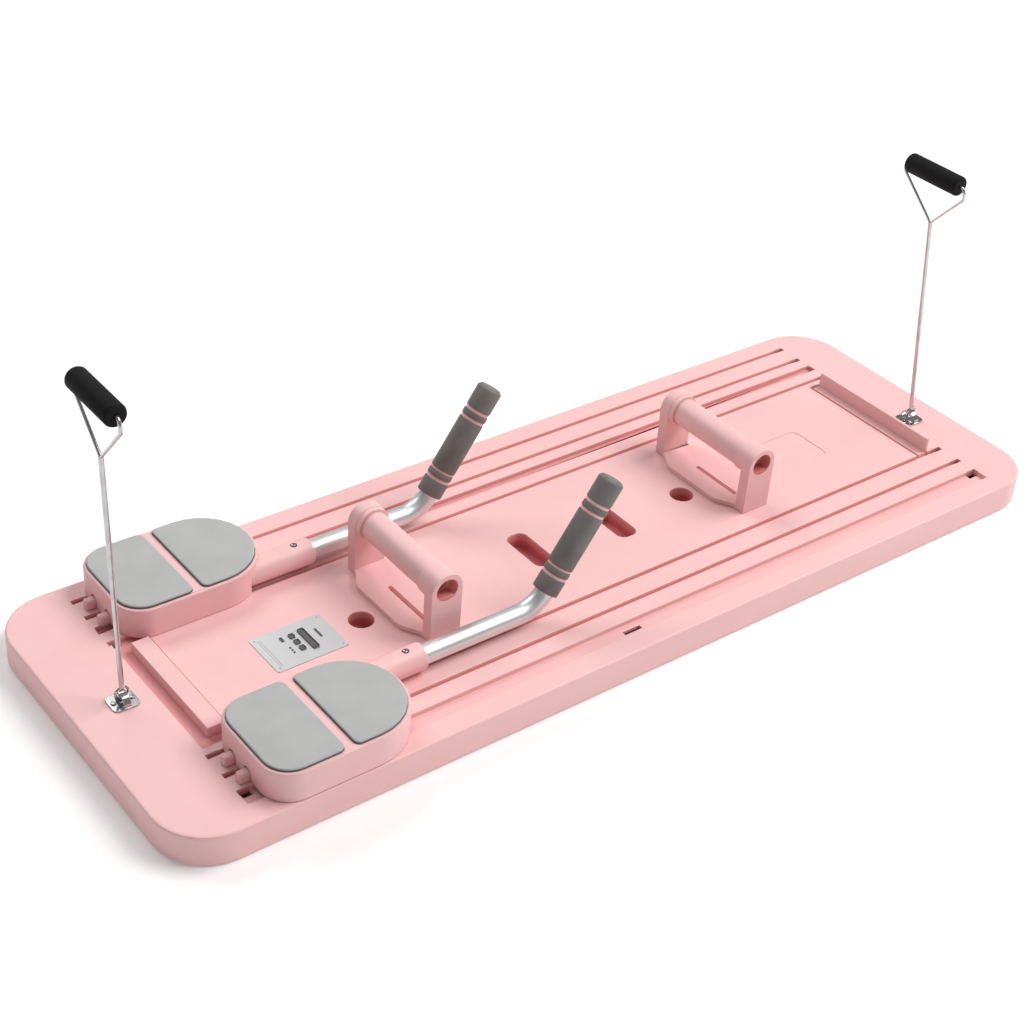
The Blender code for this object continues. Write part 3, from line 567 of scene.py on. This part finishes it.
def wire(points, radius, closed=False, bend="VECTOR", fineness=8):
    """A round wire through points, made a mesh with its ends welded shut."""
    bpy.ops.object.select_all(action="DESELECT")
    bpy.ops.curve.primitive_bezier_curve_add()
    path = bpy.context.object
    path.matrix_basis = Matrix()
    path.data.bevel_depth = radius
    path.data.bevel_resolution = 5
    path.data.resolution_u = fineness
    path.data.use_fill_caps = True
    spline = path.data.splines[0]
    spline.bezier_points.add(len(points) - 2)
    spline.use_cyclic_u = closed
    for knot, place in zip(spline.bezier_points, points):
        knot.handle_left_type = knot.handle_right_type = "AUTO"
        knot.co = place
        knot.handle_left_type = knot.handle_right_type = bend
    alone(path)
    bpy.ops.object.convert(target="MESH")
    piece = bpy.context.object
    editing(piece)
    bpy.ops.mesh.remove_doubles(threshold=0.00001)
    bpy.ops.mesh.normals_make_consistent(inside=False)
    done()
    return piece


# Camera, light and floor ---------------------------------------------------------------------


def studio():
    """A camera, a white paper floor and two soft lights."""
    camera = bpy.data.objects.new("camera", bpy.data.cameras.new("camera"))
    bpy.context.scene.collection.objects.link(camera)
    camera.location = CAMERA_PLACE
    camera.rotation_euler = CAMERA_TURN
    camera.data.sensor_width = 36
    camera.data.lens = CAMERA_LENS
    bpy.context.scene.camera = camera
    bpy.ops.object.select_all(action="DESELECT")
    bpy.ops.mesh.primitive_plane_add(size=1, location=(0, 0, -0.0002))
    floor = bpy.context.object
    floor.name = "floor"
    floor.scale = (14, 14, 1)
    paper = Finish(
        "floor_paper", Roughness=0.9, Specular_IOR_Level=0.1,
        Emission_Color=rgb(1, 1, 1), Emission_Strength=0.14,
    )
    cloud = paper.noise(3.0, 2.0)
    paper.colour(paper.blend(cloud, rgb(0.90, 0.90, 0.90), rgb(0.915, 0.915, 0.915)))
    floor.data.materials.append(paper.material)
    for name, place, size, power, tint in LIGHTS:
        lamp = bpy.data.objects.new(name, bpy.data.lights.new(name, "AREA"))
        bpy.context.scene.collection.objects.link(lamp)
        lamp.data.shape = "RECTANGLE"
        lamp.data.size, lamp.data.size_y = size
        lamp.data.energy = power
        lamp.data.color = tint
        lamp.location = place
        aim = (LIGHT_AIM - Vector(place)).to_track_quat("-Z", "Y")
        lamp.rotation_euler = aim.to_euler()
    world = bpy.data.worlds.new("studio")
    world.use_nodes = True
    background = world.node_tree.nodes["Background"]
    background.inputs["Color"].default_value = rgb(1, 1, 1)
    background.inputs["Strength"].default_value = 0.25
    bpy.context.scene.world = world
    bpy.context.scene.view_settings.view_transform = "Standard"


# Board ---------------------------------------------------------------------------------------


def board():
    moulding("board_shell", "board", "board_plastic")
    moulding("bottom_cover", "board", "pink_plastic")
    for stop in ("end_bar_left", "end_wall_right"):
        moulding(stop, "board", "pink_plastic", 0.0003, segments=1, angle=60, smooth_angle=50)
    for number in range(1, 7):
        moulding(f"foot_{number}", "board", "black_rubber", 0.0002)
    moulding("label_plate", "board", "label_metal", 0.00015)
    label_print()


def block(centre, half, height):
    """A low block with rounded upright edges."""
    bpy.ops.object.select_all(action="DESELECT")
    bpy.ops.mesh.primitive_cube_add(size=2)
    piece = bpy.context.object
    piece.scale = (half[0], half[1], height / 2)
    settle(piece)
    editing(piece)
    bpy.ops.mesh.select_all(action="DESELECT")
    done()
    for edge in piece.data.edges:
        ends = [piece.data.vertices[i].co for i in edge.vertices]
        edge.select = abs(ends[0].z - ends[1].z) > height / 2
    alone(piece)
    bpy.ops.object.mode_set(mode="EDIT")
    bpy.ops.mesh.bevel(offset=min(half) * 0.45, segments=3, affect="EDGES")
    done()
    return settle(piece, Matrix.Translation(centre))


def label_print():
    """Plain printed bars, dots and a thin outline on the label, and its four small rivets."""
    low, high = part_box("label_plate")
    centre, top = (low + high) / 2, high.z
    half_x, half_y = (high.x - low.x) / 2, (high.y - low.y) / 2
    pieces = []
    for along, across, wide, tall in LABEL_MARKS:
        place = (centre.x + along * half_x, centre.y + across * half_y, top + INK_LIFT)
        pieces.append(block(place, (wide, tall), INK))
    for side in (-1, 1):
        edge = (centre.x - (0.80 + 0.03 * side) * half_x, centre.y, top + INK_LIFT)
        pieces.append(block(edge, (0.00012, half_y * 0.78), INK))
    alone(pieces[0])
    for piece in pieces:
        piece.select_set(True)
    bpy.ops.object.join()
    finished(bpy.context.object, "label_print", "board", "label_ink")
    out_x, out_y = half_x - RIVET_INSET, half_y - RIVET_INSET
    for x, end in ((-out_x, "l"), (out_x, "r")):
        for y, edge in ((-out_y, "f"), (out_y, "b")):
            spot = Matrix.Translation((centre.x + x, centre.y + y, top))
            rivet = settle(solid_turned(RIVET, 24), spot)
            smooth(rivet, 60)
            finished(rivet, f"label_rivet_{edge}{end}", "board", "steel")


# Carriages -----------------------------------------------------------------------------------


def pad(node, body):
    """A foam pad cut from sheet: its rim pressed over, its top face a little crowned."""
    piece = welded_copy(node, "_foam")
    bpy.ops.mesh.select_all(action="DESELECT")
    done()
    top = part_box(node)[1].z
    for face in piece.data.polygons:
        face.select = face.normal.z > 0.99 and abs(face.center.z - top) < 0.0002
    alone(piece)
    bpy.ops.object.mode_set(mode="EDIT")
    for inset, rise in ((0.0008, 0.00004), (0.0014, 0.00004), (0.0022, 0.00003)):
        bpy.ops.mesh.inset(thickness=inset, depth=rise)
    done()
    smooth(piece, 50)
    modify(piece, "WEIGHTED_NORMAL", weight=60, keep_sharp=True)
    finished(piece, node + "_foam", body, "grey_pad", node)


def push_tube(side):
    """A ring drawn out along X, spun round the bend and drawn on up into the grip."""
    node, body = f"slider_{side}_push_tube", f"slider_{side}"
    low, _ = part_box(node)
    y, z = middle(node).y, low.z + TUBE_RADIUS
    bpy.ops.object.select_all(action="DESELECT")
    bpy.ops.mesh.primitive_circle_add(
        vertices=64, radius=TUBE_RADIUS, location=(low.x, y, z), rotation=(0, math.pi / 2, 0)
    )
    piece = settle(bpy.context.object)
    editing(piece)
    bpy.ops.mesh.extrude_region_move(TRANSFORM_OT_translate={"value": (TUBE_STRAIGHT, 0, 0)})
    bend = (low.x + TUBE_STRAIGHT, y, z + BEND_RADIUS)
    bpy.ops.mesh.spin(steps=18, angle=BEND_ANGLE, center=bend, axis=(0, 1, 0))
    rise = Vector((math.cos(BEND_ANGLE), 0, math.sin(BEND_ANGLE))) * TUBE_RISE
    bpy.ops.mesh.extrude_region_move(TRANSFORM_OT_translate={"value": rise})
    bpy.ops.mesh.select_all(action="SELECT")
    bpy.ops.mesh.remove_doubles(threshold=0.00001)
    bpy.ops.mesh.normals_make_consistent(inside=False)
    done()
    modify(piece, "SOLIDIFY", thickness=TUBE_WALL, offset=-1)
    button = middle(f"slider_{side}_snap_button")
    bpy.ops.object.select_all(action="DESELECT")
    bpy.ops.mesh.primitive_cylinder_add(
        vertices=32, radius=BUTTON_HOLE, depth=0.02, location=(button.x, y, z + 0.011)
    )
    drill = bpy.context.object
    modify(piece, "BOOLEAN", operation="DIFFERENCE", solver="EXACT", object=drill)
    bpy.data.objects.remove(drill, do_unlink=True)
    smooth(piece, 40)
    finished(piece, node + "_drawn", body, "aluminium", node)


def along_grip(side):
    """The matrix that takes +Z, from the tube's bend, onto the grip's axis."""
    axis = Vector((math.cos(BEND_ANGLE), 0, math.sin(BEND_ANGLE)))
    start = middle(f"slider_{side}_grip_barrel") - axis * BARREL_MIDDLE
    return Matrix.Translation(start) @ Matrix.Rotation(math.pi / 2 - BEND_ANGLE, 4, "Y")


def grip(side):
    """Rubber covers and an end cap, turned on the grip's axis over the moulded sleeve."""
    place, body = along_grip(side), f"slider_{side}"
    moulding(f"slider_{side}_grip_sleeve", body, "pink_plastic", 0.0002)
    for name, (low, high) in GRIP_COVERS.items():
        profile = eased_ring(GRIP_SEAT, GRIP_RADIUS, low, high, 0.0006, 0.00018)
        piece = settle(ring_turned(profile), place)
        smooth(piece, 50)
        node = f"slider_{side}_grip_{name}"
        finished(piece, node + "_rubber", body, "grey_grip", node)
    low, high = CAP
    profile = (
        (CAP_HOLE, CAP_SEAT), (GRIP_SEAT, CAP_SEAT), (GRIP_SEAT, low),
        (GRIP_RADIUS - 0.0006, low), (GRIP_RADIUS, low + 0.0006), (GRIP_RADIUS, high - 0.0032),
        (GRIP_RADIUS - 0.0003, high - 0.0026), (GRIP_RADIUS - 0.0026, high - 0.0003),
        (GRIP_RADIUS - 0.0034, high), (CAP_HOLE + 0.0004, high), (CAP_HOLE, high - 0.0004),
    )
    piece = settle(ring_turned(profile), place)
    smooth(piece, 40)
    node = f"slider_{side}_grip_cap"
    finished(piece, node + "_rubber", body, "grey_grip", node)


def carriage(side):
    """Everything that rides on one carriage, and the rollers and button that move on it."""
    body = f"slider_{side}"
    for part in ("housing", "base", "tube_socket"):
        moulding(f"{body}_{part}", body, "pink_plastic")
    for end in ("rear", "lead"):
        pad(f"{body}_{end}_pad", body)
        roller = f"{body}_{end}_roller"
        moulding(roller, roller, "white_nylon", 0.0002)
    push_tube(side)
    button = f"{body}_snap_button"
    moulding(button, button, "steel", 0.0002, angle=60, smooth_angle=50)
    spring = frame["nodes"][f"{body}_button_spring"]
    spring.data.materials.clear()
    spring.data.materials.append(FINISHES["steel"])
    grip(side)


# Push-up stands ------------------------------------------------------------------------------


def stand(side):
    """A frame, its steel core, and the sleeve that turns on it."""
    body = f"stand_{side}"
    moulding(f"{body}_frame", body, "pink_plastic")
    moulding(f"{body}_core_tube", body, "steel", 0.0002)
    node = f"{body}_grip_sleeve"
    low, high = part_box(node)
    half, radius = (high.y - low.y) / 2, (high.x - low.x) / 2
    profile = eased_ring(SLEEVE_BORE, radius, -half, half, 0.0008, 0.0002)
    place = Matrix.Translation(middle(node)) @ Matrix.Rotation(math.pi / 2, 4, "X")
    piece = settle(ring_turned(profile, 72), place)
    smooth(piece, 50)
    finished(piece, node + "_tube", f"{body}_grip", "pink_plastic", node)
    bore_floor(side)


def bore_floor(side):
    """The bore in the stand's front boss: a flat step along its bottom and a cup inside it, both in
    a darker pink that paints the shade down in the bore.
    """
    body = f"stand_{side}"
    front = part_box(f"{body}_frame")[0].y
    centre = middle(f"{body}_grip_sleeve")
    bpy.ops.object.select_all(action="DESELECT")
    bpy.ops.mesh.primitive_cylinder_add(
        vertices=48, radius=BORE_RADIUS, depth=STEP_LENGTH, rotation=(math.pi / 2, 0, 0),
        location=(centre.x, front + STEP_SET_BACK + STEP_LENGTH / 2, centre.z),
    )
    step = settle(bpy.context.object)
    editing(step)
    bpy.ops.mesh.bisect(
        plane_co=(centre.x, centre.y, centre.z - BORE_RADIUS * STEP_DROP), plane_no=(0, 0, 1),
        use_fill=True, clear_outer=True,
    )
    done()
    round_off(step, 0.0003)
    smooth(step, 40)
    # painted shade: the step is in the darker pink
    finished(step, f"{body}_bore_step", body, "shade_painted_plastic")
    inner, floor_top = BORE_RADIUS - LINING_WALL, LINING_LENGTH - LINING_FLOOR
    cup = ring_turned((
        (BORE_RADIUS, 0.0), (BORE_RADIUS, LINING_LENGTH), (LINING_HOLE, LINING_LENGTH),
        (LINING_HOLE, floor_top), (inner, floor_top), (inner, 0.0),
    ))
    mouth = Matrix.Translation((centre.x, front + LINING_SET_BACK, centre.z))
    settle(cup, mouth @ Matrix.Rotation(-math.pi / 2, 4, "X"))
    round_off(cup, 0.00015)
    smooth(cup, 40)
    # painted shade: the cup is in the same darker pink
    finished(cup, f"{body}_bore_cup_shaded", body, "shade_painted_plastic")


# Pull handles --------------------------------------------------------------------------------


def pull(side):
    """An anchor and its screws, then the wire rod, eye and fork, and the foam handle."""
    body = f"pull_{side}_rod"
    anchor = f"pull_{side}_anchor"
    moulding(anchor, "board", "chrome", 0.0003)
    for number in (1, 2):
        moulding(f"{anchor}_screw_{number}", "board", "steel", 0.0002)
    joint = next(j for j in frame["joints"] if j["name"] == f"{body}_swing")
    place = Matrix.Translation(joint["pos_m"]) @ Matrix.Rotation(ROD_LEAN[side], 4, "Y")
    ends = ((0, 0, EYE_RADIUS), (0, 0, FORK_HEIGHT + 0.001))
    rod = settle(wire(ends, ROD_RADIUS), place)
    smooth(rod, 40)
    finished(rod, f"{body}_bar", body, "chrome", body)
    ring = [
        (EYE_RADIUS * math.cos(math.pi * i / 4), 0, EYE_RADIUS * math.sin(math.pi * i / 4))
        for i in range(8)
    ]
    eye = settle(wire(ring, EYE_WIRE, closed=True, bend="AUTO", fineness=10), place)
    smooth(eye, 40)
    finished(eye, f"{body}_eye", body, "chrome")
    arm = (
        (0.0420, FORK_HEIGHT + 0.0470), (0.0425, FORK_HEIGHT + 0.0530),
        (0.0405, HANDLE_HEIGHT - 0.0015), (0.0375, HANDLE_HEIGHT),
    )
    there, back = [(0, y, z) for y, z in arm], [(0, -y, z) for y, z in reversed(arm)]
    loop = [(0, 0, FORK_HEIGHT), *there, *back]
    fork = settle(wire(loop, FORK_WIRE, closed=True), place)
    smooth(fork, 40)
    finished(fork, f"{body}_fork", body, "chrome")
    profile = (
        (HANDLE_BORE, -HANDLE_HALF), (0.0035, -HANDLE_HALF), (HANDLE_RADIUS - 0.0022, -HANDLE_HALF),
        (HANDLE_RADIUS - 0.0007, -HANDLE_HALF + 0.0006), (HANDLE_RADIUS, -HANDLE_HALF + 0.0022),
        (HANDLE_RADIUS, HANDLE_HALF - 0.0022), (HANDLE_RADIUS - 0.0007, HANDLE_HALF - 0.0006),
        (HANDLE_RADIUS - 0.0022, HANDLE_HALF), (0.0035, HANDLE_HALF), (HANDLE_BORE, HANDLE_HALF),
    )
    node = f"pull_{side}_handle"
    lie = place @ Matrix.Translation((0, 0, HANDLE_HEIGHT)) @ Matrix.Rotation(math.pi / 2, 4, "X")
    foam = settle(ring_turned(profile, 72), lie)
    smooth(foam, 50)
    finished(foam, node + "_foam", node, "black_foam", node)


studio()
board()
for carriage_side in SIDES:
    carriage(carriage_side)
for stand_side in STANDS:
    stand(stand_side)
for pull_side in PULLS:
    pull(pull_side)
